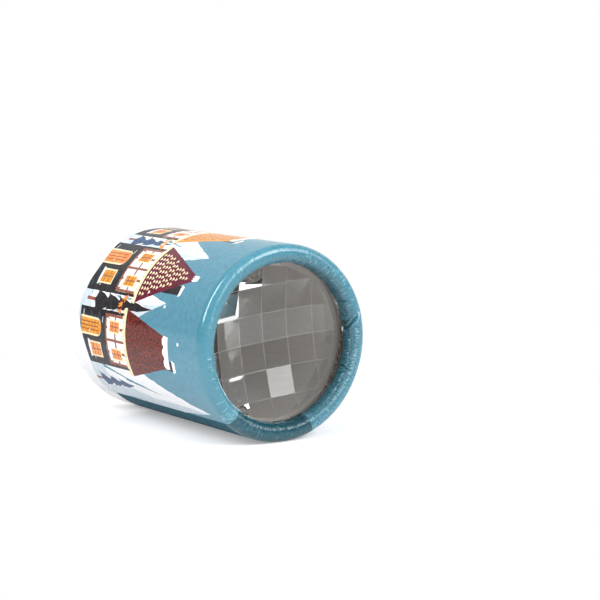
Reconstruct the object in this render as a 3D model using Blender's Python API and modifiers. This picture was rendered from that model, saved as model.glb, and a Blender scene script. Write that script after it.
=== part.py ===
"""A small cardboard-tube kaleidoscope, lying on its side with its faceted lens facing -Y.

All sizes are in metres. Every piece is modelled round a local Z axis whose +Z end is the lens end,
with height 0 at the middle of the tube, and hangs from one empty that lays this axis along -Y.
"""
import math

import bmesh
import bpy

# Rolled tube: overall size, paper, board and the roll at each end
TUBE_DIAMETER = 0.055
TUBE_LENGTH = 0.076
WRAP_THICKNESS = 0.0003
BOARD_THICKNESS = 0.0015
ROLL_HOLLOW_WIDTH = 0.0013
RIM_LAND_WIDTH = 0.0008
LIP_LENGTH = 0.0027
SMALLEST_CORNER_RADIUS = 0.00005

# Clearance between neighbours that touch on the real object
FIT_GAP = 0.0003

# Faceted lens: a flat front, a plain flange and a domed back of square facets
LENS_FLANGE_THICKNESS = 0.0030
LENS_CENTRE_THICKNESS = 0.0091
LENS_CURVE_RADIUS = 0.0397
LENS_FACET_PITCH = 0.0079
LENS_FACET_ROLL = math.radians(5.3)

# Glue bead in the hollow of the roll, against the lens
GLUE_BEAD_HEIGHT = 0.0015

# Board ring behind the lens's flange
SPACER_WALL = 0.0025
SPACER_LENGTH = 0.0062

# Inner tube between the ring and the eyepiece
LINER_WALL = 0.0020

# Eyepiece: paper facing, board disc and clear pane
FACING_THICKNESS = 0.0003
EYE_DISC_THICKNESS = 0.0020
EYE_WINDOW_THICKNESS = 0.0008
PEEPHOLE_DIAMETER = 0.0090

# Counts and tolerances of the mesh
TURN_STEPS = 60
WRAP_ARC_STEPS = 4
BOARD_ARC_STEPS = 3
MERGE_DISTANCE = 0.000001
SHARP_ANGLE = math.radians(35)

# Sizes that follow from the ones above
TUBE_RADIUS = TUBE_DIAMETER / 2
HALF_LENGTH = TUBE_LENGTH / 2
HALF_STEP_ANGLE = math.pi / TURN_STEPS
BOARD_INSET = WRAP_THICKNESS + FIT_GAP
WALL_DEPTH = BOARD_INSET + BOARD_THICKNESS
RIM_WIDTH = 2 * WALL_DEPTH + ROLL_HOLLOW_WIDTH
RIM_ROUND_RADIUS = (RIM_WIDTH - RIM_LAND_WIDTH) / 2
TABLE_FLAT_DEPTH = WRAP_THICKNESS / 2
LIP_END_HEIGHT = HALF_LENGTH - RIM_ROUND_RADIUS - LIP_LENGTH
SEAT_HEIGHT = LIP_END_HEIGHT - FIT_GAP
TUBE_BORE_RADIUS = TUBE_RADIUS - WALL_DEPTH
INNER_PIECE_RADIUS = TUBE_BORE_RADIUS - FIT_GAP
SPACER_BORE_RADIUS = INNER_PIECE_RADIUS - SPACER_WALL
LENS_DOME_RADIUS = SPACER_BORE_RADIUS - FIT_GAP
AXIS_HEIGHT = min(TUBE_RADIUS - TABLE_FLAT_DEPTH, TUBE_RADIUS * math.cos(HALF_STEP_ANGLE))


def clear_scene():
    for item in list(bpy.data.objects):
        bpy.data.objects.remove(item, do_unlink=True)


def new_collection(name):
    collection = bpy.data.collections.new(name)
    bpy.context.scene.collection.children.link(collection)
    return collection


def new_material(name, colour, roughness, transmission=0.0, ior=1.5):
    material = bpy.data.materials.new(name)
    material.use_nodes = True
    shader = material.node_tree.nodes["Principled BSDF"]
    shader.inputs["Base Color"].default_value = (*colour, 1.0)
    shader.inputs["Roughness"].default_value = roughness
    shader.inputs["Metallic"].default_value = 0.0
    shader.inputs["Transmission Weight"].default_value = transmission
    shader.inputs["IOR"].default_value = ior
    return material


def new_object(name, mesh, collection, parent):
    """Put a mesh on the tube's axis, turned so that one flat of its round side faces the table."""
    item = bpy.data.objects.new(name, mesh)
    item.parent = parent
    item.rotation_euler.z = HALF_STEP_ANGLE
    collection.objects.link(item)
    return item


def apply_modifiers(item):
    """Swap an object's mesh for its evaluated one, shaded smooth up to the sharp angle."""
    evaluated = item.evaluated_get(bpy.context.evaluated_depsgraph_get())
    mesh = bpy.data.meshes.new_from_object(evaluated)
    mesh.name = item.name
    item.modifiers.clear()
    item.data = mesh
    mesh.shade_smooth()
    mesh.set_sharp_from_angle(angle=SHARP_ANGLE)


def turned_piece(name, outline, material, collection, parent):
    """Turn a closed outline of (radius, height) points round the axis."""
    mesh = bpy.data.meshes.new(name)
    points = [(radius, 0.0, height) for radius, height in outline]
    edges = [(index, (index + 1) % len(points)) for index in range(len(points))]
    mesh.from_pydata(points, edges, [])
    mesh.materials.append(material)
    item = new_object(name, mesh, collection, parent)
    screw = item.modifiers.new("Turn", "SCREW")
    screw.axis = "Z"
    screw.angle = math.tau
    screw.steps = TURN_STEPS
    screw.render_steps = TURN_STEPS
    screw.use_merge_vertices = True
    screw.merge_threshold = MERGE_DISTANCE
    apply_modifiers(item)
    return item


def ring_outline(inner_radius, outer_radius, low, high):
    """A plain rectangular section that runs down its outer side."""
    return [(outer_radius, high), (outer_radius, low), (inner_radius, low), (inner_radius, high)]


def disc_mesh(name, radius, low, high):
    """A round plate between two heights."""
    shape = bmesh.new()
    bmesh.ops.create_cone(shape, cap_ends=True, segments=TURN_STEPS,
                          radius1=radius, radius2=radius, depth=high - low)
    bmesh.ops.translate(shape, verts=shape.verts, vec=(0.0, 0.0, (high + low) / 2))
    mesh = bpy.data.meshes.new(name)
    shape.to_mesh(mesh)
    shape.free()
    return mesh


def arc(centre_radius, centre_height, radius, start, end, steps):
    points = []
    for index in range(steps + 1):
        angle = start + (end - start) * index / steps
        points.append((centre_radius + radius * math.cos(angle),
                       centre_height + radius * math.sin(angle)))
    return points


def rolled_surface(inset, arc_steps):
    """The rolled skin at a depth under the finished surface.

    It runs from the lip at the lens end over the rim, down the side and round to the other lip.
    """
    outer = TUBE_RADIUS - inset
    inner = TUBE_RADIUS - RIM_WIDTH + inset
    corner = max(RIM_ROUND_RADIUS - inset, SMALLEST_CORNER_RADIUS)
    centre_height = HALF_LENGTH - inset - corner
    half = [(inner, LIP_END_HEIGHT)]
    half += arc(inner + corner, centre_height, corner, math.pi, math.pi / 2, arc_steps)
    half += arc(outer - corner, centre_height, corner, math.pi / 2, 0.0, arc_steps)
    return half + [(radius, -height) for radius, height in reversed(half)]


def rolled_outline(inset, thickness, arc_steps):
    """Section of a rolled sheet: its outer skin, then back along its inner skin."""
    outer_skin = rolled_surface(inset, arc_steps)
    inner_skin = rolled_surface(inset + thickness, arc_steps)
    return outer_skin + inner_skin[::-1]


def mark_as_cutter(item):
    item.hide_render = True
    item.display_type = "WIRE"


def table_flat(cutters, parent):
    """A block under the table's surface, which leaves a narrow flat along the underside."""
    shape = bmesh.new()
    bmesh.ops.create_cube(shape, size=1.0)
    size = (TUBE_DIAMETER, TUBE_RADIUS, TUBE_LENGTH + TUBE_RADIUS)
    bmesh.ops.scale(shape, verts=shape.verts, vec=size)
    bmesh.ops.translate(shape, verts=shape.verts, vec=(0.0, -AXIS_HEIGHT - TUBE_RADIUS / 2, 0.0))
    mesh = bpy.data.meshes.new("table_flat")
    shape.to_mesh(mesh)
    shape.free()
    item = new_object("table_flat", mesh, cutters, parent)
    item.rotation_euler.z = 0.0
    mark_as_cutter(item)
    return item


def build_printed_wrap(collection, cutters, parent):
    paper = new_material("printed_paper", (0.10, 0.30, 0.38), 0.45)
    outline = rolled_outline(0.0, WRAP_THICKNESS, WRAP_ARC_STEPS)
    wrap = turned_piece("printed_wrap", outline, paper, collection, parent)
    cut = wrap.modifiers.new("Lie still", "BOOLEAN")
    cut.operation = "DIFFERENCE"
    cut.solver = "EXACT"
    cut.object = table_flat(cutters, parent)
    apply_modifiers(wrap)


def build_outer_tube(collection, parent):
    board = new_material("tube_board", (0.24, 0.21, 0.18), 0.85)
    outline = rolled_outline(BOARD_INSET, BOARD_THICKNESS, BOARD_ARC_STEPS)
    turned_piece("outer_tube", outline, board, collection, parent)


def facet_block(cutters, parent):
    """The lens's domed back: a grid of flat squares on a shallow bowl, cut round."""
    cells_each_side = math.ceil(LENS_DOME_RADIUS / LENS_FACET_PITCH)
    root_height = SEAT_HEIGHT - LENS_FLANGE_THICKNESS / 2
    apex_height = SEAT_HEIGHT - LENS_CENTRE_THICKNESS
    corner_radius = cells_each_side * LENS_FACET_PITCH * math.sqrt(2)
    corner_height = apex_height + corner_radius ** 2 / (2 * LENS_CURVE_RADIUS)
    block_top = max(corner_height, root_height) + LENS_CENTRE_THICKNESS
    shape = bmesh.new()
    bmesh.ops.create_grid(shape, x_segments=2 * cells_each_side, y_segments=2 * cells_each_side,
                          size=cells_each_side * LENS_FACET_PITCH)
    for vert in shape.verts:
        vert.co.z = apex_height + vert.co.xy.length_squared / (2 * LENS_CURVE_RADIUS)
    block = bmesh.ops.extrude_face_region(shape, geom=list(shape.faces))
    for vert in block["geom"]:
        if isinstance(vert, bmesh.types.BMVert):
            vert.co.z = block_top
    bmesh.ops.recalc_face_normals(shape, faces=shape.faces)
    mesh = bpy.data.meshes.new("facet_block")
    shape.to_mesh(mesh)
    shape.free()
    item = new_object("facet_block", mesh, cutters, parent)
    item.rotation_euler.z = LENS_FACET_ROLL
    dome_mesh = disc_mesh("dome_round", LENS_DOME_RADIUS, apex_height - LENS_CENTRE_THICKNESS, root_height)
    dome_round = new_object("dome_round", dome_mesh, cutters, parent)
    cut = item.modifiers.new("Cut round", "BOOLEAN")
    cut.operation = "INTERSECT"
    cut.solver = "EXACT"
    cut.object = dome_round
    mark_as_cutter(item)
    mark_as_cutter(dome_round)
    return item


def build_faceted_lens(collection, cutters, parent):
    acrylic = new_material("clear_acrylic", (0.95, 0.96, 0.97), 0.03, transmission=1.0, ior=1.49)
    mesh = disc_mesh("faceted_lens", INNER_PIECE_RADIUS,
                     SEAT_HEIGHT - LENS_FLANGE_THICKNESS, SEAT_HEIGHT)
    mesh.materials.append(acrylic)
    lens = new_object("faceted_lens", mesh, collection, parent)
    union = lens.modifiers.new("Facets", "BOOLEAN")
    union.operation = "UNION"
    union.solver = "EXACT"
    union.object = facet_block(cutters, parent)
    apply_modifiers(lens)
    lens.data.shade_flat()


def build_lens_glue(collection, parent):
    glue = new_material("white_glue", (0.80, 0.78, 0.72), 0.40)
    lip_back_radius = TUBE_RADIUS - RIM_WIDTH + WALL_DEPTH
    low = SEAT_HEIGHT + FIT_GAP
    outline = ring_outline(lip_back_radius + FIT_GAP, INNER_PIECE_RADIUS, low, low + GLUE_BEAD_HEIGHT)
    turned_piece("lens_glue", outline, glue, collection, parent)


def build_spacer_and_liner(collection, parent):
    """The board ring stands on the lens's flange and the liner fills the rest, down to the pane."""
    ring_board = new_material("ring_board", (0.21, 0.19, 0.17), 0.90)
    liner_board = new_material("liner_board", (0.26, 0.24, 0.22), 0.90)
    ring_high = SEAT_HEIGHT - LENS_FLANGE_THICKNESS - FIT_GAP
    ring_low = ring_high - SPACER_LENGTH
    outline = ring_outline(SPACER_BORE_RADIUS, INNER_PIECE_RADIUS, ring_low, ring_high)
    turned_piece("lens_spacer_ring", outline, ring_board, collection, parent)
    liner_low = eye_window_high() + FIT_GAP
    outline = ring_outline(INNER_PIECE_RADIUS - LINER_WALL, INNER_PIECE_RADIUS,
                           liner_low, ring_low - FIT_GAP)
    turned_piece("liner_tube", outline, liner_board, collection, parent)


def eye_disc_low():
    return -SEAT_HEIGHT + FACING_THICKNESS + FIT_GAP


def eye_window_high():
    return eye_disc_low() + EYE_DISC_THICKNESS + FIT_GAP + EYE_WINDOW_THICKNESS


def build_eyepiece(collection, parent):
    """Facing, disc and pane, stacked from the lip at the far end towards the lens."""
    white_paper = new_material("white_paper", (0.85, 0.85, 0.84), 0.60)
    board = new_material("disc_board", (0.30, 0.28, 0.25), 0.85)
    clear_plastic = new_material("clear_film", (0.95, 0.96, 0.97), 0.05, transmission=1.0, ior=1.49)
    peephole_radius = PEEPHOLE_DIAMETER / 2
    outline = ring_outline(peephole_radius, INNER_PIECE_RADIUS,
                           -SEAT_HEIGHT, -SEAT_HEIGHT + FACING_THICKNESS)
    turned_piece("eye_disc_facing", outline, white_paper, collection, parent)
    outline = ring_outline(peephole_radius, INNER_PIECE_RADIUS,
                           eye_disc_low(), eye_disc_low() + EYE_DISC_THICKNESS)
    turned_piece("eye_disc", outline, board, collection, parent)
    mesh = disc_mesh("eye_window", INNER_PIECE_RADIUS,
                     eye_window_high() - EYE_WINDOW_THICKNESS, eye_window_high())
    mesh.materials.append(clear_plastic)
    new_object("eye_window", mesh, collection, parent)


def build_kaleidoscope():
    clear_scene()
    parts = new_collection("kaleidoscope")
    cutters = new_collection("cutters")
    axis = bpy.data.objects.new("tube_axis", None)
    axis.location.z = AXIS_HEIGHT
    axis.rotation_euler.x = math.pi / 2
    parts.objects.link(axis)
    build_outer_tube(parts, axis)
    build_printed_wrap(parts, cutters, axis)
    build_faceted_lens(parts, cutters, axis)
    build_lens_glue(parts, axis)
    build_spacer_and_liner(parts, axis)
    build_eyepiece(parts, axis)


build_kaleidoscope()
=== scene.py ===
import math
import random

import bmesh
import bpy
import numpy as np
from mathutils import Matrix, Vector
from mathutils.geometry import delaunay_2d_cdt


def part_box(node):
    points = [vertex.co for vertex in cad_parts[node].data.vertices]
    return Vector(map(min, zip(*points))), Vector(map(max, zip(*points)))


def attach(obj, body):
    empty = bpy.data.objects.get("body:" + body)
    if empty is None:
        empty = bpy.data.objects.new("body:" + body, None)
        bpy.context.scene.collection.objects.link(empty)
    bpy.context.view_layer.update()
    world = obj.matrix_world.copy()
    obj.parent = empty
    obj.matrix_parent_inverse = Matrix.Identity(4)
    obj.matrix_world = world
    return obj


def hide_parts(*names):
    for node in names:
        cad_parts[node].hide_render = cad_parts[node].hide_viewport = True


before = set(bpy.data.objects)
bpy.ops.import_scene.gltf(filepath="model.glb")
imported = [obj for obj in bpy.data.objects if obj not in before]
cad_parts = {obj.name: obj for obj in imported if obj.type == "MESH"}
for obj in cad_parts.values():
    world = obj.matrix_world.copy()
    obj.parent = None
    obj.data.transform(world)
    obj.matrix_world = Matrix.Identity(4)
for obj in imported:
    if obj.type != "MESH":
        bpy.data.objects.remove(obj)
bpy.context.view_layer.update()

mm = 0.001


# Main tube
# Spirally wound greyboard whose two ends are rolled inward into a round rim. It is hidden under
# the printed paper, and only its raw edge and the inside of the roll can be glimpsed.
def srgb(colour):
    """A colour as a painter would mix it on screen, 0 to 255, in the renderer's linear light."""
    shares = [level / 255 for level in colour]
    return [share / 12.92 if share <= 0.04045 else ((share + 0.055) / 1.055) ** 2.4
            for share in shares] + [1.0]


def add_node(material, kind, operation=None, *ordered, **named):
    """A shader node whose inputs, in order or by name, are set to a value or wired to an output."""
    node = material.node_tree.nodes.new(kind)
    if operation:
        node.operation = operation
    for place, value in [*enumerate(ordered), *named.items()]:
        socket = node.inputs[place.replace("_", " ") if isinstance(place, str) else place]
        if isinstance(value, bpy.types.NodeSocket):
            material.node_tree.links.new(value, socket)
        else:
            socket.default_value = value
    return node


def plain_material(name, roughness, **inputs):
    material = bpy.data.materials.new(name)
    material.use_nodes = True
    shader = material.node_tree.nodes["Principled BSDF"]
    shader.inputs["Roughness"].default_value = roughness
    for socket, value in inputs.items():
        shader.inputs[socket.replace("_", " ")].default_value = value
    return material, shader


def colour_ramp(material, value, positions, colours):
    """A ramp through screen colours, at positions that rise."""
    ramp = add_node(material, "ShaderNodeValToRGB", Fac=value)
    stops = ramp.color_ramp.elements
    stops[0].position, stops[1].position = positions[0], positions[-1]
    for position in positions[1:-1]:
        stops.new(position)
    for stop, colour in zip(stops, colours):
        stop.color = srgb(colour)
    return ramp.outputs["Color"]


def noise(material, scale, detail, roughness, place=None):
    """Cloudy noise, in the object's own space unless another is given."""
    place = place or add_node(material, "ShaderNodeTexCoord").outputs["Object"]
    return add_node(material, "ShaderNodeTexNoise", Vector=place, Scale=scale, Detail=detail,
                    Roughness=roughness).outputs["Fac"]


def two_tone(material, shader, low_colour, high_colour, scale, detail=4.0, spread=0.25):
    """Cloudy mottling between two colours."""
    ramp = colour_ramp(material, noise(material, scale, detail, 0.6), (0.5 - spread, 0.5 + spread),
                       (low_colour, high_colour))
    material.node_tree.links.new(ramp, shader.inputs["Base Color"])


def relief(material, shader, height, depth, strength=1.0):
    """Relief whose depth is in metres, added to what the shader already has."""
    bump = add_node(material, "ShaderNodeBump", Height=height, Strength=strength, Distance=depth)
    normal = shader.inputs["Normal"]
    for wire in normal.links:
        material.node_tree.links.new(wire.from_socket, bump.inputs["Normal"])
    material.node_tree.links.new(bump.outputs["Normal"], normal)


def surface_grain(material, shader, scale, depth, strength=1.0):
    """Fine relief from noise."""
    relief(material, shader, noise(material, scale, 5.0, 0.65), depth, strength)


def greyboard(name, low_colour, high_colour):
    """Raw recycled board: matt, cloudy and full of short fibres."""
    material, shader = plain_material(name, 0.92)
    two_tone(material, shader, low_colour, high_colour, 900.0, detail=6.0, spread=0.2)
    surface_grain(material, shader, 2600.0, 0.08 * mm)
    return material


def finish_node(name, material):
    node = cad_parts[name]
    node.data.materials.clear()
    node.data.materials.append(material)


def smooth_step(value, low, high):
    share = np.clip((value - low) / (high - low), 0.0, 1.0)
    return share * share * (3.0 - 2.0 * share)


def to_scene(name, data):
    item = bpy.data.objects.new(name, data)
    bpy.context.scene.collection.objects.link(item)
    return item


def angle_gap(angle, centre):
    return np.mod(angle - centre + math.pi, math.tau) - math.pi


def place_on_tube(angle, radius, y):
    """Angle 0 is the underside, and it grows the way the picture runs from left to right."""
    turned = angle - math.pi / 2
    return (radius * math.cos(turned), y, max(0.0, axis_height + radius * math.sin(turned)))


def rim_rows(turn_steps, lip_steps):
    """Stations from the shoulder over the crest to the lip's end: turn angle and share of the lip."""
    rows = [(math.pi * index / turn_steps, 0.0) for index in range(turn_steps + 1)]
    return rows + [(math.pi, index / lip_steps) for index in range(1, lip_steps + 1)]


def crease_depth(angle, turn):
    """Depth of the knocks and folds in the rolled rim, steep on one side and gentle on the other."""
    depth = np.zeros(len(angle))
    for centre, slope, most, width, reach in crease_list:
        gap = angle_gap(angle, centre + slope * (turn - math.pi / 2)) * tube_radius
        start = smooth_step(np.full(len(angle), turn), reach, reach + 0.6)
        side = np.where(gap > 0.0, width * 0.45, width * 1.6)
        depth += most * start * np.exp(-(gap / side) ** 2)
    return depth


class RingShell:
    """Vertices, faces and face finishes of a shell that is built ring by ring round the tube."""

    def __init__(self):
        self.points = []
        self.faces = []
        self.inks = []

    def add(self, point):
        self.points.append(point)
        return len(self.points) - 1

    def ring(self, radii, heights):
        """One ring round the tube; the underside is pressed flat where it lies on the table."""
        start = len(self.points)
        for index, (radius, height) in enumerate(zip(radii, heights)):
            angle = math.tau * index / len(radii)
            self.points.append(place_on_tube(angle, radius, height))
        return list(range(start, start + len(radii)))

    def bridge(self, first, second, ink_of=None, flip=False):
        """Faces between two rings, where the first may have more points than the second."""
        share = len(first) // len(second)
        for index in range(len(second)):
            after = (index + 1) % len(second)
            fine = [first[(index * share + step) % len(first)] for step in range(share + 1)]
            corners = fine + [second[after], second[index]]
            self.faces.append(corners[::-1] if flip else corners)
            self.inks.append(ink_of((index + 0.5) / len(second)) if ink_of else 0)


def shell_mesh(shell, name, numbers, weld_distance=0.0):
    """A shell as a smooth mesh, with the number of each face's material."""
    mesh = bpy.data.meshes.new(name)
    mesh.from_pydata(shell.points, [], shell.faces)
    mesh.polygons.foreach_set("material_index", numbers)
    form = bmesh.new()
    form.from_mesh(mesh)
    if weld_distance:
        bmesh.ops.remove_doubles(form, verts=form.verts, dist=weld_distance)
    bmesh.ops.recalc_face_normals(form, faces=form.faces)
    form.to_mesh(mesh)
    form.free()
    mesh.shade_smooth()
    return mesh


def board_rings(end_y, way, inset, lip_share_end, count):
    """Rings of one skin of the rolled board, from the shoulder to the lip."""
    angle = np.arange(count) * math.tau / count
    rings = []
    for turn, lip_share in rim_rows(12, 2):
        reach = rim_round - inset
        dent = np.minimum(crease_depth(angle, turn), 0.9 * reach) if way > 0 else 0.0
        radii = tube_radius - rim_round + (reach - dent) * math.cos(turn)
        depth = rim_round - (reach - dent) * math.sin(turn)
        depth = depth + (lip_depth - rim_round) * lip_share * lip_share_end
        heights = end_y + way * depth
        rings.append(board_tube.ring(np.broadcast_to(radii, count), np.broadcast_to(heights, count)))
    return rings


wrap_low, wrap_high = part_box("printed_wrap")
tube_radius = (wrap_high[0] - wrap_low[0]) / 2
axis_height = wrap_high[2] - tube_radius
lens_end = wrap_low[1]
eye_end = wrap_high[1]
rim_round = 2.75 * mm
glue_gap = 0.3 * mm
lip_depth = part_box("faceted_lens")[0][1] - lens_end - glue_gap
board_under_paper = 0.95 * mm
board_inside = 1.9 * mm
board_around = 420
crease_list = [(math.radians(degrees), slope, depth * mm, width * mm, reach)
               for degrees, slope, depth, width, reach in (
                   (103.6, -0.075, 1.00, 0.50, 0.5), (107.6, -0.075, 0.45, 0.35, 1.8),
                   (116.4, 0.01, 0.45, 0.32, 2.0), (66, 0.03, 0.40, 0.32, 1.6),
                   (38, -0.02, 0.20, 0.30, 1.3), (215, 0.02, 0.18, 0.30, 1.5),
                   (281, -0.14, 0.16, 0.18, 1.1), (329, 0.12, 0.18, 0.18, 0.9))]
board_tube = RingShell()
skins = []
for inset in (board_under_paper, board_inside):
    lens_side = board_rings(lens_end, 1.0, inset, 1.0, board_around)
    eye_side = board_rings(eye_end, -1.0, inset, 0.9, board_around)
    skins.append(lens_side[::-1] + eye_side)
for skin, flip in zip(skins, (False, True)):
    for first, second in zip(skin, skin[1:]):
        board_tube.bridge(first, second, flip=flip)
board_tube.bridge(skins[1][0], skins[0][0])
board_tube.bridge(skins[0][-1], skins[1][-1])
board_mesh = shell_mesh(board_tube, "rolled_board_tube", board_tube.inks)
board_mesh.materials.append(greyboard("tube_board", (96, 84, 72), (134, 120, 106)))
rolled_tube = to_scene("rolled_board_tube", board_mesh)
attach(rolled_tube, "root")
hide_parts("outer_tube")


# Printed paper, the picture
# A coated paper sheet, printed before it is glued round the tube: a winter village between a
# white snow field at the peephole end and a blue-green sky at the lens end. Sizes here are in
# millimetres on the flat sheet: across runs round the tube from its underside, up runs from
# the peephole end to the lens end.
sheet_width = math.tau * tube_radius / mm
sheet_height = (eye_end - lens_end) / mm
print_low = rim_round / mm
print_high = sheet_height - rim_round / mm
lap_left = 152.9
lap_right = 9.6
snow_line = 13.0
sky_margin = 0.9
cut_step = 1.7
hill_step = 1.2
random_hand = random.Random(11)
printed_shapes = []

# Each ink has its darker and lighter colour, the scale and spread of its mottling, and its gloss.
flat_inks = {
    "sky": ((77, 130, 150), (94, 147, 167), 700.0, 0.22, 0.65),
    "deep_sky": ((36, 84, 99), (48, 99, 115), 700.0, 0.22, 0.12),
    "snow": ((232, 234, 238), (247, 247, 248), 420.0, 0.22, 0.65),
    "shade_snow": ((190, 206, 216), (212, 222, 229), 420.0, 0.22, 0.65),
    "charcoal": ((24, 22, 25), (50, 46, 50), 520.0, 0.16, 0.65),
    "maroon": ((58, 14, 12), (126, 46, 36), 1500.0, 0.07, 0.65),
    "plum": ((70, 10, 32), (118, 24, 52), 1400.0, 0.10, 0.65),
    "navy": ((26, 56, 92), (40, 84, 128), 1200.0, 0.10, 0.65),
    "cream": ((243, 216, 168), (252, 234, 200), 900.0, 0.22, 0.65),
    "orange": ((222, 122, 58), (240, 158, 90), 320.0, 0.16, 0.65),
    "mustard": ((206, 124, 30), (228, 160, 52), 1100.0, 0.08, 0.65),
    "brown": ((128, 72, 56), (158, 96, 76), 800.0, 0.22, 0.65),
    "pale_blue": ((150, 196, 220), (176, 214, 232), 900.0, 0.22, 0.65),
}

# On the rims: the colours from valley to ridge (painted shade in the valleys, a painted highlight on the
# ridges), how dark the painted shade makes the lip and the lines, the varnish.
rim_inks = {
    "rim_sky": (((28, 84, 102), (58, 122, 141), (77, 141, 160), (130, 184, 198)), 0.68, 0.60, 1.62),
    "rim_deep": (((4, 38, 50), (8, 66, 80), (16, 84, 100), (56, 118, 130)), 0.68, 0.60, 1.54),
    "rim_white": (((196, 199, 205), (224, 226, 230), (240, 241, 243), (250, 250, 250)), 0.92, 0.94, 1.62),
}
ink_names = list(flat_inks) + list(rim_inks)


def hand_cut(points, wobble):
    """The outline with long edges split up and set a little unevenly, as a hand-cut stencil is."""
    drawn = []
    for (x0, y0), (x1, y1) in zip(points, points[1:] + points[:1]):
        length = math.hypot(x1 - x0, y1 - y0)
        count = max(1, round(length / cut_step))
        for index in range(count):
            share = index / count
            drawn.append((x0 + (x1 - x0) * share + random_hand.uniform(-wobble, wobble),
                          y0 + (y1 - y0) * share + random_hand.uniform(-wobble, wobble)))
    return drawn


def paint(ink, points, wobble=0.07):
    printed_shapes.append((ink, hand_cut(points, wobble) if wobble else list(points)))


def paint_box(ink, left, bottom, width, height, wobble=0.05):
    paint(ink, [(left, bottom), (left + width, bottom),
                (left + width, bottom + height), (left, bottom + height)], wobble)


def paint_round(ink, across, up, half_width, half_height, count=18, wobble=0.03):
    ring = []
    for index in range(count):
        angle = math.tau * index / count
        ring.append((across + half_width * math.cos(angle) + random_hand.uniform(-wobble, wobble),
                     up + half_height * math.sin(angle) + random_hand.uniform(-wobble, wobble)))
    printed_shapes.append((ink, ring))


def paint_stroke(ink, start, end, width, end_width=None, wobble=0.05):
    """A straight brush stroke between two points, which may taper."""
    end_width = width if end_width is None else end_width
    dx, dy = end[0] - start[0], end[1] - start[1]
    length = math.hypot(dx, dy)
    nx, ny = -dy / length / 2, dx / length / 2
    corners = ((start, -width), (end, -end_width), (end, end_width), (start, width))
    paint(ink, [(x + nx * wide, y + ny * wide) for (x, y), wide in corners], wobble)


def paint_hills(ink, base, waves):
    """A field of snow with a soft rolling top, from one side of the lap to the other."""
    count = round((lap_left - lap_right) / hill_step)
    top = []
    for index in range(count + 1):
        across = lap_right + (lap_left - lap_right) * index / count
        top.append((across, base + sum(rise * math.sin(across / length + shift)
                                       for rise, length, shift in waves)))
    printed_shapes.append((ink, [(lap_right, print_low), (lap_left, print_low)] + top[::-1]))


def paint_peak(across, base, width, height, lean):
    """A snow mountain, lit on its left and in blue shade on its right, with bare clefts below."""
    def at(side, up, leaning=0.0):
        return (across + width * side + lean * leaning, base + height * up)
    right_side = [at(0.50, 0.0), at(0.31, 0.40), at(0.14, 0.72, 0.6), at(0.0, 1.0, 1.0)]
    paint("snow", [at(-0.50, 0.0)] + right_side + [at(-0.16, 0.70, 0.6), at(-0.31, 0.42)], wobble=0.2)
    paint("shade_snow", [at(0.10, 0.0)] + right_side
          + [at(0.02, 0.70, 0.6), at(0.10, 0.52), at(0.01, 0.30)], wobble=0.15)
    for side, foot, top in ((-0.22, 0.10, 0.44), (-0.09, 0.34, 0.62), (0.24, 0.12, 0.36)):
        paint_stroke("sky", at(side, foot), at(side * 0.5, top, 0.5), 1.2, 0.15, wobble=0.1)


# The corners of a fir's tier, then of the snow on its two slopes: side, lift and share of the rise.
fir_tier = (((-1, 0, 0), (-0.5, 0.18, 0), (0, -0.06, 0), (0.5, 0.18, 0), (1, 0, 0), (0, 0, 1)),
            ((-1, 0, 0), (-0.62, 0.34, 0), (-0.50, 0, 0.34), (-0.22, 0, 0.56), (-0.06, 0, 0.90)),
            ((1, 0, 0), (0.64, 0.26, 0), (0.60, 0, 0.36)))


def paint_fir(across, base, height, width, tiers, ink):
    """A fir on a brown trunk, with snow lying along the slopes of its tiers."""
    paint_box("brown", across - width * 0.06, base - 0.6, width * 0.12, height * 0.2)
    for tier in range(tiers):
        half = width / 2 * (1 - tier / tiers * 0.66)
        foot = base + height * (0.12 + tier / tiers * 0.76)
        rise = height * 0.36
        for colour, wobble, corners in zip((ink, "snow", "snow"), (0.07, 0.03, 0.03), fir_tier):
            paint(colour, [(across + half * side, foot + half * lift + rise * up)
                           for side, lift, up in corners], wobble)


def paint_window(across, bottom, width, height, lit):
    """A lit window: cream frame, two by three panes, brown bars and snow on the sill."""
    half = width / 2
    paint_box("cream", across - half - 0.5, bottom - 0.5, width + 1.0, height + 1.0, 0.04)
    paint_box(lit, across - half, bottom, width, height, 0.02)
    paint_box("brown", across - 0.18, bottom, 0.36, height, 0.0)
    for share in (1 / 3, 2 / 3):
        paint_box("brown", across - half, bottom + height * share - 0.16, width, 0.32, 0.0)
    paint("snow", [(across - half - 1.0, bottom - 0.9), (across + half + 1.0, bottom - 0.8),
                   (across + half + 0.7, bottom + 0.1), (across, bottom + 0.5),
                   (across - half - 0.7, bottom + 0.1)], wobble=0.05)


def paint_door(across, bottom, width, height, ink):
    """A round-headed plank door in a cream surround."""
    for extra, colour in ((0.6, "cream"), (0.0, ink)):
        half = width / 2 + extra
        head = [(across + half * math.cos(angle), bottom + height - half + half * math.sin(angle))
                for angle in (math.pi * index / 10 for index in range(11))]
        paint(colour, [(across - half, bottom), (across + half, bottom)] + head[:-1], wobble=0.03)
    for share in (-0.5, 0.0, 0.5):
        paint_box("maroon", across + width / 2 * share - 0.12, bottom, 0.24, height * 0.86, 0.0)
    paint_round("cream", across + width * 0.3, bottom + height * 0.42, 0.32, 0.32, 8)


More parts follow.
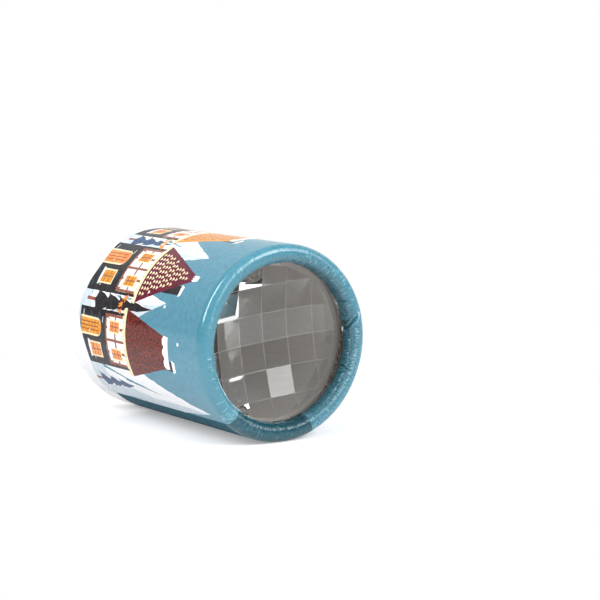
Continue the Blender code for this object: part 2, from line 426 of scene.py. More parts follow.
def paint_timbers(left, bottom, width, height, bays):
    """White plaster between brown posts, rails and slanting braces."""
    paint_box("snow", left, bottom, width, height)
    for index in range(bays + 1):
        paint_box("brown", left + (width - 0.8) * index / bays, bottom, 0.8, height, 0.04)
    for share in (0.0, 0.52, 1.0):
        paint_box("brown", left, bottom + (height - 0.8) * share, width, 0.8, 0.04)
    bay = (width - 0.8) / bays
    for index, rise in ((0, 1), (bays - 1, -1)):
        x0 = left + 0.4 + bay * index
        low, high = bottom + 0.4, bottom + height * 0.52
        start, end = ((x0, low), (x0 + bay, high)) if rise > 0 else ((x0, high), (x0 + bay, low))
        paint_stroke("brown", start, end, 0.75, wobble=0.04)


tile_corners = {"triangles": ((-0.36, 0.0), (0.36, 0.0), (0.0, 0.62)),
                "lozenges": ((-0.34, 0.28), (0.0, 0.0), (0.34, 0.28), (0.0, 0.56))}


def paint_roof(across, eaves, rise, low_half, top_half, ink, tile_ink, row, tiles):
    """A tall roof with rows of small tiles, a snow cap and a scalloped cream board at the eaves."""
    paint(ink, [(across - low_half, eaves), (across + low_half, eaves),
                (across + top_half, eaves + rise), (across - top_half, eaves + rise)])
    up = eaves + 1.6
    line = 0
    while tile_ink and up < eaves + rise - 2.4:
        half = low_half + (top_half - low_half) * (up - eaves) / rise - 1.1
        count = int(2 * half / row)
        for index in range(count):
            centre = across - (count - 1) * row / 2 + index * row + (row / 4 if line % 2 else -row / 4)
            if abs(centre - across) + row * 0.4 > half:
                continue
            corners = tile_corners[tiles]
            printed_shapes.append((tile_ink, [(centre + row * x, up + row * y) for x, y in corners]))
        up += row * 0.86
        line += 1
    steps = 9
    half = top_half + 0.5
    snow = [(across - half + 2 * half * index / steps,
             eaves + rise - 1.2 - 1.1 * math.sin(index / steps * math.pi * 3) ** 2)
            for index in range(steps + 1)]
    paint("snow", snow + [(across + top_half + 0.3, eaves + rise + 0.9),
                          (across - top_half - 0.3, eaves + rise + 1.0)], wobble=0.05)
    scallops = max(4, round(2 * low_half / 2.0))
    width = 2 * low_half / scallops
    paint_box("cream", across - low_half, eaves - 0.4, 2 * low_half, 1.1, 0.05)
    for index in range(scallops):
        paint_round("cream", across - low_half + width * (index + 0.5), eaves - 0.4,
                    width * 0.46, width * 0.42, 10, 0.02)


def paint_hut(across, base, width, wall, rise, ridge, roof_ink, tile_ink, door_ink, lit, tiles, row=1.7):
    """A village house: dark stone below, timber frame above, chimney, roof, door and windows."""
    half = width / 2
    eaves = base + wall
    chimney = across + half * (0.42 if ridge > 0.2 else 0.50)
    chimney_top = eaves + rise * (1.10 if ridge > 0.2 else 0.82)
    paint_box("charcoal", chimney - 1.4, eaves + rise * 0.2, 2.8, chimney_top - eaves - rise * 0.2)
    paint("snow", [(chimney - 1.9, chimney_top), (chimney + 1.9, chimney_top),
                   (chimney + 1.5, chimney_top + 1.3), (chimney - 1.3, chimney_top + 1.5)])
    paint_box("charcoal", across - half, base - 1.0, width, wall + 1.5)
    storey = wall * 0.44
    paint_timbers(across - half + 0.9, eaves - storey, width - 1.8, storey, 4)
    for side in (-1, 1):
        paint_window(across + side * half * 0.48, eaves - storey * 0.80, width * 0.17, storey * 0.52, lit)
    stone_rows = int((wall - storey) / 2.3)
    for line in range(stone_rows):
        for index in range(4):
            left = across - half + 1.0 + width / 4 * index + (1.2 if line % 2 else 0.0)
            if left + 2.2 < across + half - 0.6:
                paint_box("shade_snow" if (line + index) % 5 == 0 else "deep_sky", left,
                          base + 0.7 + 2.3 * line, 1.7, 0.35, 0.03)
    paint_door(across - half * 0.35, base - 0.4, width * 0.26, (wall - storey) * 0.86, door_ink)
    paint_window(across + half * 0.45, base + (wall - storey) * 0.28, width * 0.22,
                 (wall - storey) * 0.44, lit)
    paint_roof(across, eaves, rise, half + 1.7, max(half * ridge, 0.5), roof_ink, tile_ink, row, tiles)


def paint_bunting(start, end, sag, inks):
    """Small flags on a brown string between two eaves."""
    count = 7
    points = []
    for index in range(count * 3 + 1):
        share = index / (count * 3)
        points.append((start[0] + (end[0] - start[0]) * share,
                       start[1] + (end[1] - start[1]) * share - 4 * sag * share * (1 - share)))
    lower = [(x, y - 0.28) for x, y in points]
    printed_shapes.append(("brown", lower + points[::-1]))
    for index in range(count):
        x, y = points[index * 3 + 1]
        printed_shapes.append((inks[index % len(inks)],
                               [(x - 0.85, y - 0.1), (x, y - 2.3), (x + 0.85, y - 0.1)]))


# The picture is painted back to front: sky, mountains, far snow, trees, houses, near snow, flags.
paint_box("sky", 0.0, print_low, sheet_width, sheet_height - 2 * print_low, 0.0)
for place, base, width, height, lean in ((99.0, 13.0, 30.0, 47.0, 3.0), (76.0, 13.0, 24.0, 38.0, -2.0),
                                         (53.5, 13.0, 28.0, 48.0, 2.0), (31.0, 13.0, 24.0, 38.0, -1.5),
                                         (11.5, 12.0, 20.0, 52.0, -1.0), (121.5, 13.0, 24.0, 41.0, -3.0),
                                         (146.5, 8.0, 30.0, 61.0, 3.5)):
    paint_peak(place, base, width, height, lean)
paint_hills("shade_snow", 15.5, ((2.2, 7.0, 0.4), (0.8, 2.9, 2.0)))
for place, base, height, width, tiers, ink in ((31.6, 12.5, 30.0, 8.0, 4, "charcoal"),
                                               (54.0, 12.5, 23.0, 7.5, 3, "navy"),
                                               (76.3, 12.0, 33.0, 8.5, 4, "charcoal"),
                                               (98.6, 11.5, 24.0, 8.0, 3, "navy"),
                                               (121.0, 11.5, 35.0, 8.5, 4, "charcoal"),
                                               (146.3, 10.0, 22.0, 7.6, 3, "navy")):
    paint_fir(place, base, height, width, tiers, ink)
paint_hut(20.5, 10.5, 16.0, 22.0, 19.0, 0.52, "navy", "pale_blue", "orange", "mustard", "lozenges", 2.1)
paint_hut(42.8, 10.0, 17.5, 27.0, 25.0, 0.06, "plum", "cream", "mustard", "orange", "triangles")
paint_hut(65.1, 10.5, 16.5, 23.0, 19.0, 0.50, "maroon", None, "orange", "mustard", "triangles")
paint_hut(87.4, 10.5, 17.0, 24.0, 22.0, 0.42, "mustard", "brown", "maroon", "orange", "lozenges", 1.5)
paint_hut(109.7, 10.0, 17.5, 27.0, 26.0, 0.06, "plum", "cream", "orange", "mustard", "triangles")
paint_hut(132.0, 9.5, 17.0, 25.0, 23.0, 0.50, "maroon", None, "mustard", "orange", "triangles")
paint_hills("snow", 9.3, ((1.3, 4.3, 1.0), (0.7, 11.0, 0.0)))
for start, end, sag, inks in (((29.5, 30.0), (34.0, 34.0), 1.0, ("mustard", "orange", "maroon")),
                              ((51.8, 34.0), (56.8, 31.0), 1.2, ("orange", "mustard", "cream")),
                              ((73.4, 31.0), (78.8, 32.0), 1.4, ("mustard", "orange", "maroon")),
                              ((96.0, 32.0), (101.0, 34.0), 1.4, ("mustard", "cream", "orange")),
                              ((118.6, 34.0), (123.6, 32.0), 1.4, ("orange", "mustard", "maroon"))):
    paint_bunting(start, end, sag, inks)
for _ in range(12):
    paint_round("snow", random_hand.uniform(lap_right + 2, lap_left - 14), random_hand.uniform(52.0, 66.0),
                0.5, 0.5, 10, 0.05)
paint_box("sky", 0.0, print_high - sky_margin, sheet_width, sky_margin, 0.0)
for lap_start, lap_width in ((0.0, lap_right), (lap_left, sheet_width - lap_left)):
    paint_box("deep_sky", lap_start, snow_line, lap_width, print_high - snow_line, 0.0)
    paint_box("snow", lap_start, print_low, lap_width, snow_line - print_low, 0.0)


# Printed paper, the sheet on the tube
# The sheet is glued round the board with a lap along the underside, then rolled in with the rims,
# where it gathers into hundreds of fine pleats, and ends in a ragged edge against the lens.
around = 840
rim_around = 2520
line_every = 4
inner_skin = 1.05 * mm
lap_height = 0.10 * mm
lap_step = 0.06
lap_fade = 1.8
pleat_sink, short_sink, shorter_sink, wave_sink = 0.20 * mm, 0.18 * mm, 0.12 * mm, 0.05 * mm
gather_start, gather_full = math.radians(18), math.radians(118)
inner_lip_share = 0.55


def lap_inset(across):
    """How far the sheet lies under the top of the lap, in metres: none in it, the most outside."""
    fade = np.clip((across - lap_right) / lap_fade, 0.0, 1.0)
    step = np.clip((lap_left + lap_step - across) / lap_step, 0.0, 1.0)
    return lap_height * np.minimum(fade, step)


def pleat_field(seed, count):
    """Uneven pleats round the rim: where each begins, and how deep it is."""
    pleat_rng = np.random.default_rng(seed)
    widths = pleat_rng.uniform(0.5, 1.5, count)
    edges = np.concatenate([[0.0], np.cumsum(widths)]) / widths.sum() * math.tau
    return edges, pleat_rng.uniform(0.25, 1.0, count)


def pleat_depth(field, angle):
    """0 on the back of a pleat and 1 in the crease between two, with each pleat's own depth."""
    edges, depths = field
    turned = np.mod(angle, math.tau)
    index = np.clip(np.searchsorted(edges, turned, side="right") - 1, 0, len(depths) - 1)
    share = (turned - edges[index]) / (edges[index + 1] - edges[index])
    rounded = 1.0 - np.sqrt(np.clip(1.0 - (2.0 * share - 1.0) ** 2, 0.0, 1.0))
    return depths[index] * rounded


def crinkle_field(seed, cells_around, cells_along):
    return np.random.default_rng(seed).uniform(0.0, 1.0, (cells_along + 2, cells_around))


def crinkle_depth(field, angle, turn):
    """Short wrinkles: smooth random heights, folded so that each has a sharp valley."""
    cells_along, cells_around = field.shape[0] - 2, field.shape[1]
    place = np.mod(angle, math.tau) / math.tau * cells_around
    left = np.floor(place).astype(int) % cells_around
    across = place - np.floor(place)
    across = across * across * (3.0 - 2.0 * across)
    along = turn / math.pi * cells_along
    row = min(int(along), cells_along)
    up = along - row
    low = field[row, left] * (1 - across) + field[row, (left + 1) % cells_around] * across
    high = field[row + 1, left] * (1 - across) + field[row + 1, (left + 1) % cells_around] * across
    level = low * (1 - up) + high * up
    return (1.0 - np.abs(2.0 * level - 1.0)) ** 2


def rim_skin(rows, count, fields, dented, ragged):
    """Radius and depth below the end face of each row, for every angle round the rim."""
    pleats, short, shorter = fields
    radii, depths = [], []
    angles = np.arange(count) * math.tau / count
    across = np.mod(angles / math.tau * sheet_width, sheet_width)
    sway = 0.010 * np.sin(3.0 * angles + 1.0) + 0.014 * np.sin(7.0 * angles)
    patchy = 0.34 + 0.66 * smooth_step(np.cos(angles - math.radians(38)), 0.10, 0.75)
    patchy *= 0.85 + 0.15 * np.sin(5.0 * angles + 0.4)
    for turn, lip_share in rows:
        gather = smooth_step(np.full(count, turn), gather_start, gather_full)
        lean = angles + sway * (turn - math.pi / 2)
        sink = pleat_sink * gather ** 1.4 * patchy * pleat_depth(pleats, lean + 0.004 * turn)
        sink += short_sink * gather * patchy * crinkle_depth(short, lean, turn)
        sink += shorter_sink * gather ** 0.7 * crinkle_depth(shorter, lean - 0.006 * turn, turn)
        sink += wave_sink * (1.0 + np.sin(5.0 * angles + 0.7) * np.sin(2.0 * angles)) * gather
        if dented:
            sink += crease_depth(angles, turn)
        sink += lap_inset(across)
        radii.append(tube_radius - rim_round + (rim_round - sink) * math.cos(turn))
        lip = (lip_depth - rim_round) * lip_share * (1.0 - ragged * lip_share)
        depths.append(rim_round - (rim_round - sink) * math.sin(turn) + lip)
    return radii, depths


def lens_rim_ink(share):
    across = share * sheet_width
    return "rim_deep" if across < lap_right or across > lap_left else "rim_sky"


def white_side(share):
    return "rim_white"


def ragged_edge(seed, count, most, torn=()):
    """Share of the lip that is missing at each angle, more where the paper is torn."""
    edge_rng = np.random.default_rng(seed)
    missing = np.convolve(edge_rng.uniform(0.0, most, count + 8), np.ones(9) / 9, mode="valid")
    for centre, reach, depth in torn:
        missing += depth * np.exp(-(angle_gap(np.arange(count) * math.tau / count, centre) / reach) ** 2)
    return missing


paper = RingShell()
lens_fields = (pleat_field(8, 320), crinkle_field(3, 450, 3), crinkle_field(14, 700, 5))
eye_fields = (pleat_field(5, 130), crinkle_field(21, 150, 4), crinkle_field(6, 190, 5))
torn_places = ((math.radians(62), 0.35, 0.30), (math.radians(100), 0.05, 0.22),
               (math.radians(84), 0.10, 0.25), (math.radians(300), 0.25, 0.12))
lens_rows = rim_rows(18, 3)
eye_rows = rim_rows(14, 2)
lens_radii, lens_depths = rim_skin(lens_rows, rim_around, lens_fields, True,
                                   ragged_edge(4, rim_around, 0.22, torn_places))
eye_radii, eye_depths = rim_skin(eye_rows, around, eye_fields, False, ragged_edge(9, around, 0.10))
lens_rings = [paper.ring(radii, lens_end + depths) for radii, depths in zip(lens_radii, lens_depths)]
eye_rings = [paper.ring(radii, eye_end - depths) for radii, depths in zip(eye_radii, eye_depths)]
for first, second in zip(lens_rings, lens_rings[1:]):
    paper.bridge(first, second, lens_rim_ink)
for first, second in zip(eye_rings, eye_rings[1:]):
    paper.bridge(first, second, white_side, flip=True)


def lay_out_picture():
    """Cut the flat picture into triangles along every outline and every ruled line."""
    points, edges, faces, inks = [], [], [], []
    rows = []
    for height, count in ((print_low, around), (print_high, rim_around)):
        rows.append(range(len(points), len(points) + count + 1))
        points += [Vector((sheet_width * index / count, height)) for index in range(count + 1)]
        edges += list(zip(rows[-1], rows[-1][1:]))
    low_row, high_row = rows
    fine_share = rim_around // around
    edges += [(low_row[index], high_row[index * fine_share]) for index in range(0, around + 1, line_every)]
    for across in (lap_left, lap_left + lap_step, lap_right):
        points += [Vector((across, print_low)), Vector((across, print_high))]
        edges.append((len(points) - 2, len(points) - 1))
    for ink, outline in printed_shapes:
        start = len(points)
        turning = sum(x0 * y1 - x1 * y0 for (x0, y0), (x1, y1) in zip(outline, outline[1:] + outline[:1]))
        points += [Vector((min(max(x, 0.0), sheet_width), min(max(y, print_low), print_high)))
                   for x, y in (outline if turning > 0 else outline[::-1])]
        faces.append(list(range(start, len(points))))
        inks.append(ink)
    flat, _, triangles, _, _, sources = delaunay_2d_cdt(points, edges, faces, 0, 1e-5, True)
    return flat, triangles, [inks[max(source)] if source else "sky" for source in sources]


flat_points, flat_triangles, triangle_inks = lay_out_picture()
flat_ids = []
for flat_point in flat_points:
    flat_angle = flat_point.x / sheet_width * math.tau
    flat_radius = tube_radius - float(lap_inset(np.array(flat_point.x)))
    vertex = paper.add(place_on_tube(flat_angle, flat_radius, eye_end - flat_point.y * mm))
    flat_ids.append(vertex)
for triangle, ink in zip(flat_triangles, triangle_inks):
    paper.faces.append([flat_ids[corner] for corner in triangle])
    paper.inks.append(ink)

inner_rows = [(math.pi, 1.0), (math.pi, 0.0), (math.radians(120), 0.0), (math.radians(60), 0.0), (0.0, 0.0)]
inner_rings = []
for end_rings, end_y, way in ((lens_rings, lens_end, 1.0), (eye_rings, eye_end, -1.0)):
    rings = [end_rings[-1]]
    for turn, lip_share in inner_rows:
        sunk = np.full(around, rim_round - inner_skin)
        if way > 0:
            sunk -= crease_depth(np.arange(around) * math.tau / around, turn)
        radii = tube_radius - rim_round + sunk * math.cos(turn)
        depths = rim_round - sunk * math.sin(turn) + (lip_depth - rim_round) * lip_share * inner_lip_share
        rings.append(paper.ring(radii, end_y + way * depths))
    for first, second in zip(rings, rings[1:]):
        paper.bridge(first, second, white_side, flip=way < 0)
    inner_rings.append(rings[-1])
paper.bridge(inner_rings[0], inner_rings[1], white_side)

wrap_mesh = shell_mesh(paper, "printed_wrap_sheet", [ink_names.index(ink) for ink in paper.inks],
                       weld_distance=0.002 * mm)
wrap_mesh.update()

# On the straight body the normals follow the cylinder, not the long triangles of the picture.
wrap_normals = []
body_slack = 0.001 * mm
body_skin = 0.15 * mm
for vertex in wrap_mesh.vertices:
    x, y, z = vertex.co
    reach = math.hypot(x, z - axis_height)
    on_body = lens_end + rim_round - body_slack <= y <= eye_end - rim_round + body_slack
    if on_body and reach > tube_radius - body_skin:
        wrap_normals.append((x / reach, 0.0, (z - axis_height) / reach))
    else:
        wrap_normals.append(tuple(vertex.normal))
wrap_mesh.normals_split_custom_set_from_vertices(wrap_normals)
printed_wrap = to_scene("printed_wrap_sheet", wrap_mesh)


# Printed paper, its inks
# Flat offset inks on coated white paper with a satin film. Each colour shows the dry brush and
# sponge marks of the artwork's texture, and the paper's own fine tooth.
paper_tooth = (3800.0, 0.016 * mm, 0.7)
varnish_spread = 0.14
fold_stops = (0.40, 0.47, 0.53, 0.60)
pucker_scale = 62.0
pucker_share = 16.0
pucker_depth = 0.07 * mm
pucker_dark, pucker_light = 0.38, 0.53
lip_reach, crest_reach = tube_radius - 1.85 * rim_round, tube_radius - 0.75 * rim_round
plain_side, gathered_side = -0.8 * tube_radius, 0.4 * tube_radius


def printed_ink(name, low_colour, high_colour, scale, spread, gloss):
    material, shader = plain_material("ink_" + name, 0.5, Specular_IOR_Level=0.0,
                                      Coat_Weight=gloss, Coat_Roughness=varnish_spread, Coat_IOR=1.5)
    two_tone(material, shader, low_colour, high_colour, scale, 5.0, spread)
    surface_grain(material, shader, *paper_tooth)
    return material


def value_range(material, value, low, high, at_low, at_high, smooth=True):
    """A value stretched between two ends and held beyond them."""
    node = add_node(material, "ShaderNodeMapRange", Value=value, From_Min=low, From_Max=high,
                    To_Min=at_low, To_Max=at_high)
    node.interpolation_type = "SMOOTHSTEP" if smooth else "LINEAR"
    return node.outputs["Result"]


def rim_ink(name, valley_to_ridge, lip_share, line_shade_share, varnish):
    """Ink on the rolled rims, where the paper is puckered along fine lines that run over the roll.

    Its colour holds painted shade and highlight: darker in the hollows of the folds and lighter on their
    ridges, darker along the pucker lines, and darker towards the lip on the inside of the roll. Where it is
    gathered most, on the side of +X, the painted shade makes the lines darker by the share given for the
    lines, and the paper towards the lip by the share given for the lip. On the other side both are a quarter
    as strong.
    """
    material, shader = plain_material("ink_" + name, 0.5, Specular_IOR_Level=0.0, Coat_Weight=1.0,
                                      Coat_Roughness=varnish_spread, Coat_IOR=varnish)
    surface_grain(material, shader, *paper_tooth)
    # Painted shade and highlight: the colour runs from dark in the hollows of the folds to light on their
    # ridges, as worn ink and painted highlight, by the mesh's pointiness.
    fold = add_node(material, "ShaderNodeNewGeometry").outputs["Pointiness"]
    shade = colour_ramp(material, fold, fold_stops, valley_to_ridge)

    place = add_node(material, "ShaderNodeTexCoord").outputs["Object"]
    split = add_node(material, "ShaderNodeSeparateXYZ", Vector=place).outputs
    height = add_node(material, "ShaderNodeMath", "SUBTRACT", split["Z"], axis_height).outputs[0]
    turn = add_node(material, "ShaderNodeMath", "ARCTAN2", height, split["X"]).outputs[0]
    ring = add_node(material, "ShaderNodeCombineXYZ", X=split["X"], Z=height).outputs[0]
    reach = add_node(material, "ShaderNodeVectorMath", "LENGTH", ring).outputs["Value"]
    across = add_node(material, "ShaderNodeMath", "MULTIPLY", reach, pucker_share).outputs[0]
    stretched = add_node(material, "ShaderNodeCombineXYZ", X=turn, Y=across).outputs[0]
    puckers = noise(material, pucker_scale, 2.5, 0.6, stretched)
    relief(material, shader, puckers, pucker_depth)

    # Painted shade: darker along the lines of the puckers and towards the lip, most on the side of +X.
    shares = []
    for value, low, high, share in ((reach, lip_reach, crest_reach, lip_share),
                                    (puckers, pucker_dark, pucker_light, line_shade_share)):
        side = value_range(material, split["X"], plain_side, gathered_side, (3.0 + share) / 4, share,
                           smooth=False)
        shares.append(value_range(material, value, low, high, side, 1.0))
    darker = add_node(material, "ShaderNodeMath", "MULTIPLY", *shares).outputs[0]
    painted_shade_colour = add_node(material, "ShaderNodeVectorMath", "SCALE", shade, Scale=darker)
    material.node_tree.links.new(painted_shade_colour.outputs[0], shader.inputs["Base Color"])
    return material


for maker, looks in ((printed_ink, flat_inks), (rim_ink, rim_inks)):
    for ink_name, look in looks.items():
        wrap_mesh.materials.append(maker(ink_name, *look))
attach(printed_wrap, "root")
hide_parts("printed_wrap")


# Faceted lens
# One clear acrylic moulding: flat in front, a plain flange held behind the rolled lip, and a
# domed back of square facets, each of which shows the view once more. The mould leaves the
# edges between the facets very slightly rounded, and they are given a matt pale finish: partly
# the frosting of the mould, partly a painted highlight for the light that rounded clear edges catch.
facet_pitch = 7.9 * mm
facet_curve = 42.5 * mm
facet_curve_middle = (0.55 * mm, 0.12 * mm)
facet_roll = math.radians(5.3)
facet_offset = (-0.75 * mm, -0.5 * mm)
facet_edge = 0.045 * mm
flange_thickness = 3.0 * mm
dome_radius = 22.3 * mm
lens_low, lens_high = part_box("faceted_lens")
lens_radius = (lens_high[0] - lens_low[0]) / 2
lens_front = lens_low[1]
lens_thickness = lens_high[1] - lens_low[1]


def bowl_height(x, y):
    """A shallow round bowl, whose deepest point lies a little beside a corner of the grid."""
    reach = (x - facet_curve_middle[0]) ** 2 + (y - facet_curve_middle[1]) ** 2
    return facet_curve - math.sqrt(facet_curve ** 2 - reach)


def facet_solid():
    """A grid of flat squares over a shallow bowl, thick enough to be cut to the lens's outline."""
    cells = 3
    shape = bmesh.new()
    bmesh.ops.create_grid(shape, x_segments=2 * cells, y_segments=2 * cells, size=cells * facet_pitch)
    for vert in shape.verts:
        vert.co.z = bowl_height(vert.co.x, vert.co.y)
    inner = [edge for edge in shape.edges if not edge.is_boundary]
    bmesh.ops.bevel(shape, geom=inner, offset=facet_edge, segments=1, profile=0.5, affect="EDGES",
                    material=1)
    top = bmesh.ops.extrude_face_region(shape, geom=list(shape.faces))
    for part in top["geom"]:
        if isinstance(part, bmesh.types.BMVert):
            part.co.z = 3 * lens_thickness
    turn_cos, turn_sin = math.cos(facet_roll), math.sin(facet_roll)
    for vert in shape.verts:
        x, z = vert.co.x, vert.co.y
        vert.co = (facet_offset[0] + x * turn_cos - z * turn_sin,
                   lens_front + lens_thickness - vert.co.z,
                   axis_height + facet_offset[1] + x * turn_sin + z * turn_cos)
    bmesh.ops.recalc_face_normals(shape, faces=shape.faces)
    return shape


def round_plate(radius, front, back, segments=120):
    """A disc across the tube between two places along it."""
    shape = bmesh.new()
    bmesh.ops.create_cone(shape, cap_ends=True, segments=segments, radius1=radius, radius2=radius,
                          depth=back - front)
    for vert in shape.verts:
        x, y, z = vert.co
        vert.co = (x, (front + back) / 2 + z, axis_height + y)
    bmesh.ops.recalc_face_normals(shape, faces=shape.faces)
    return shape


def to_object(shape, name):
    mesh = bpy.data.meshes.new(name)
    shape.to_mesh(mesh)
    shape.free()
    return to_scene(name, mesh)


def combine(item, other, operation):
    """Join or cut one solid with another, and drop the other."""
    step = item.modifiers.new(operation, "BOOLEAN")
    step.operation = operation
    step.solver = "EXACT"
    step.object = other
    view = item.evaluated_get(bpy.context.evaluated_depsgraph_get())
    mesh = bpy.data.meshes.new_from_object(view)
    item.modifiers.clear()
    item.data = mesh
    bpy.data.objects.remove(other, do_unlink=True)


acrylic, _ = plain_material("clear_acrylic", 0.012, Transmission_Weight=1.0, IOR=1.55,
                            Base_Color=(0.97, 0.97, 0.965, 1.0))
# Matt pale strips on the facets' edges: frosted moulding, with a painted highlight in their pale colour.
edge_haze_and_highlight, _ = plain_material("moulded_edge_and_highlight", 0.5, IOR=1.55, Base_Color=(0.82, 0.80, 0.78, 1.0))
lens = to_object(facet_solid(), "faceted_lens_moulding")
dome_disc = to_object(round_plate(dome_radius, lens_front + flange_thickness / 2,
                                  lens_front + 2 * lens_thickness), "dome_round")
flange_disc = to_object(round_plate(lens_radius, lens_front, lens_front + flange_thickness), "flange")
for solid in (lens, dome_disc, flange_disc):
    solid.data.materials.append(acrylic)
    solid.data.materials.append(edge_haze_and_highlight)
combine(lens, dome_disc, "INTERSECT")
combine(lens, flange_disc, "UNION")
lens.data.shade_flat()
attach(lens, "root")
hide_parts("faceted_lens")


# Glue
# White glue runs round the lens in the hollow of the roll; a little of it is squeezed out where
# the ragged edge of the paper meets the lens.
glue, glue_shader = plain_material("dried_glue", 0.35)
two_tone(glue, glue_shader, (214, 208, 196), (240, 237, 230), 1500.0)
surface_grain(glue, glue_shader, 2000.0, 0.05 * mm)
finish_node("lens_glue", glue)
speck_rng = random.Random(5)
opening_radius = tube_radius - 2 * rim_round


def scatter_bits(name, material, places):
    """Small lumps on the inside of the roll, each at an angle, a size and a height over the lens."""
    bits = bmesh.new()
    for angle, size, height in places:
        blob = bmesh.ops.create_icosphere(bits, subdivisions=2, radius=size)
        stretch = speck_rng.uniform(1.2, 2.4)
        centre = Vector(place_on_tube(angle, opening_radius - 0.02 * mm, lens_front - height))
        tangent = Vector((-math.sin(angle - math.pi / 2), 0.0, math.cos(angle - math.pi / 2)))
        for vert in blob["verts"]:
            along = vert.co.dot(tangent)
            moved = vert.co * speck_rng.uniform(0.8, 1.0) + tangent * along * (stretch - 1.0)
            moved.y = min(moved.y * 0.6, height - 0.02 * mm)
            vert.co = centre + moved
    pieces = to_object(bits, name)
    pieces.data.materials.append(material)
    pieces.data.shade_smooth()
    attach(pieces, "root")


speck_places = [(math.radians(angle), size * mm, height * mm)
                for angle, size, height in ((95.5, 0.34, 1.2), (108.5, 0.20, 0.9), (112.0, 0.24, 1.0),
                                            (115.5, 0.32, 1.1), (118.0, 0.26, 0.9), (121.5, 0.20, 0.7),
                                            (52.0, 0.16, 0.12), (330.0, 0.16, 0.12))]
speck_places += [(math.radians(speck_rng.uniform(282, 326)), speck_rng.uniform(0.10, 0.2) * mm, 0.12 * mm)
                 for _ in range(26)]
scatter_bits("glue_specks", glue, speck_places)
torn_board = greyboard("torn_board", (52, 38, 28), (104, 80, 60))
crumb_places = [(math.radians(speck_rng.uniform(42, 97)), (0.07 + 0.20 * speck_rng.random() ** 3) * mm,
                 speck_rng.uniform(0.06, 0.30) * mm) for _ in range(130)]
scatter_bits("board_crumbs", torn_board, crumb_places)


# Spacer ring, inner tube and eyepiece
# Plain grey board rings and discs cut on a lathe, pushed in from the peephole end one after
# another: the ring stands on the lens, the inner tube on the ring, and the eyepiece closes it.
# The liner's colour is darker in front of this line, on the lens's side.
darker_front_to = -15.0 * mm
darker_front_edge = 0.25 * mm
darker_front_share = 0.80


def darken_front_end(material):
    """A board's colour is darker in front of a line across the tube, on the lens's side of it."""
    base_colour = material.node_tree.nodes["Principled BSDF"].inputs["Base Color"]
    place = add_node(material, "ShaderNodeTexCoord").outputs["Object"]
    along = add_node(material, "ShaderNodeSeparateXYZ", Vector=place).outputs["Y"]
    share = value_range(material, along, darker_front_to, darker_front_to + darker_front_edge, darker_front_share, 1.0, smooth=False)
    tone = add_node(material, "ShaderNodeVectorMath", "SCALE", base_colour.links[0].from_socket, Scale=share)
    material.node_tree.links.new(tone.outputs[0], base_colour)


liner_board = greyboard("liner_board", (242, 236, 231), (249, 245, 241))
darken_front_end(liner_board)
finish_node("lens_spacer_ring", greyboard("ring_board", (232, 226, 219), (243, 237, 230)))
finish_node("liner_tube", liner_board)
finish_node("eye_disc", greyboard("disc_board", (214, 208, 201), (226, 220, 213)))
facing_paper, facing_shader = plain_material("white_facing_paper", 0.55)
two_tone(facing_paper, facing_shader, (228, 228, 226), (243, 243, 241), 500.0)
surface_grain(facing_paper, facing_shader, 3200.0, 0.02 * mm)
finish_node("eye_disc_facing", facing_paper)
pane, _ = plain_material("clear_pane", 0.03, Transmission_Weight=1.0, IOR=1.49,
                         Base_Color=(0.98, 0.98, 0.98, 1.0))
finish_node("eye_window", pane)


# Studio
# A white sweep, lit by a large soft box in front on the right whose middle is brighter, a narrow
# one on the left and a faint one overhead, as the highlights in the photograph show. The camera
# has the photograph's height, distance and field of view, found from the outline of the tube.
def camera_only(material, camera_part, other_part, output_kind):
    """One shader for what the camera sees directly, in gloss or through glass, one for the light."""
    rays = add_node(material, "ShaderNodeLightPath").outputs
    seen = add_node(material, "ShaderNodeMath", "MAXIMUM", rays["Is Camera Ray"], rays["Is Glossy Ray"])
    seen = add_node(material, "ShaderNodeMath", "MAXIMUM", seen.outputs[0], rays["Is Transmission Ray"])
    mix = add_node(material, "ShaderNodeMixShader", None, seen.outputs[0], other_part, camera_part)
    add_node(material, output_kind, Surface=mix.outputs[0])


floor_size = 6.0
floor_clearance = 0.02 * mm
fade_start, fade_end = 75 * mm, 150 * mm
bpy.ops.mesh.primitive_plane_add(size=floor_size, location=(0.0, 0.0, -floor_clearance))
floor = bpy.context.object
floor.name = "floor"
floor_white = bpy.data.materials.new("floor_white")
floor_white.use_nodes = True
floor_white.node_tree.nodes.clear()
floor_matt = add_node(floor_white, "ShaderNodeBsdfDiffuse", Color=(0.80, 0.80, 0.81, 1.0)).outputs[0]
floor_glow = add_node(floor_white, "ShaderNodeEmission", Strength=0.31).outputs[0]
floor_near = add_node(floor_white, "ShaderNodeAddShader", None, floor_matt, floor_glow).outputs[0]
floor_far = add_node(floor_white, "ShaderNodeEmission", Strength=1.0).outputs[0]
floor_place = add_node(floor_white, "ShaderNodeTexCoord").outputs["Object"]
floor_reach = add_node(floor_white, "ShaderNodeVectorMath", "LENGTH", floor_place).outputs["Value"]
floor_fade = value_range(floor_white, floor_reach, fade_start, fade_end, 0.0, 1.0)
floor_seen = add_node(floor_white, "ShaderNodeMixShader", None, floor_fade, floor_near, floor_far).outputs[0]
camera_only(floor_white, floor_seen, floor_matt, "ShaderNodeOutputMaterial")
floor.data.materials.append(floor_white)

studio = bpy.data.worlds.new("studio")
bpy.context.scene.world = studio
studio.use_nodes = True
studio.node_tree.nodes.clear()

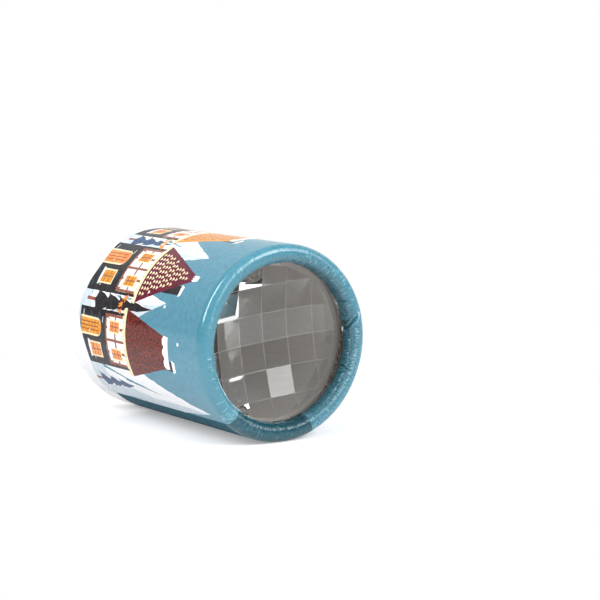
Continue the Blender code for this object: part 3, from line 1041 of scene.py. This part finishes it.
# The sweep behind the tube is white, and the room on the lens's side of it is dim.
sweep_way = (0.56, 0.82, 0.10)
room_way = add_node(studio, "ShaderNodeTexCoord").outputs["Generated"]
room_split = add_node(studio, "ShaderNodeSeparateXYZ", Vector=room_way).outputs
backward = add_node(studio, "ShaderNodeVectorMath", "DOT_PRODUCT", room_way, sweep_way).outputs["Value"]
from_camera = add_node(studio, "ShaderNodeLightPath").outputs["Is Camera Ray"]
sweep = value_range(studio, backward, 0.30, 0.80, 0.15, 1.0)
seen_strength = add_node(studio, "ShaderNodeMath", "MAXIMUM", from_camera, sweep).outputs[0]
from_above = value_range(studio, room_split["Z"], 0.0, 0.8, 0.24, 0.46)
from_behind = value_range(studio, room_split["Y"], -0.8, 0.3, 0.80, 1.0)
light_strength = add_node(studio, "ShaderNodeMath", "MULTIPLY", from_above, from_behind).outputs[0]
room_seen, room_light = [
    add_node(studio, "ShaderNodeBackground", Color=(1.0, 1.0, 1.0, 1.0), Strength=strength).outputs[0]
    for strength in (seen_strength, light_strength)]
camera_only(studio, room_seen, room_light, "ShaderNodeOutputWorld")


def soft_box(name, turn, rise, distance, width, height, radiance):
    """A soft box seen from the lens at a turn round from straight ahead and a rise above level."""
    aim = Vector((0.0, lens_end, axis_height))
    turn, rise = math.radians(turn), math.radians(rise)
    place = aim + distance * Vector((math.sin(turn) * math.cos(rise), -math.cos(turn) * math.cos(rise),
                                     math.sin(rise)))
    light = bpy.data.lights.new(name, "AREA")
    light.shape = "RECTANGLE"
    light.size = width
    light.size_y = height
    light.energy = radiance * math.pi * width * height
    item = to_scene(name, light)
    item.location = place
    item.rotation_euler = (aim - place).to_track_quat("-Z", "Y").to_euler()


soft_box("right_box", 28.0, 36.0, 0.9, 0.80, 0.56, 5.3)
soft_box("right_box_middle", 28.0, 34.0, 0.88, 0.66, 0.26, 2.8)
soft_box("left_strip", -88.0, 38.0, 0.9, 0.18, 0.62, 18.0)
soft_box("top_box", -60.0, 80.0, 0.9, 0.90, 0.90, 0.5)

scene = bpy.context.scene
scene.view_settings.view_transform = "Standard"
photo_size = 600
photo_focal = 1865.2
camera_data = bpy.data.cameras.new("camera")
camera_data.sensor_width = 36.0
camera_data.lens = camera_data.sensor_width * photo_focal / photo_size
camera = to_scene("camera", camera_data)
camera.location = (-284.4 * mm, -453.8 * mm, 102.1 * mm)
camera_turn = math.radians(34.786)
camera_drop = math.radians(7.085)
camera.rotation_euler = (math.pi / 2 - camera_drop, 0.0, -camera_turn)
scene.camera = camera
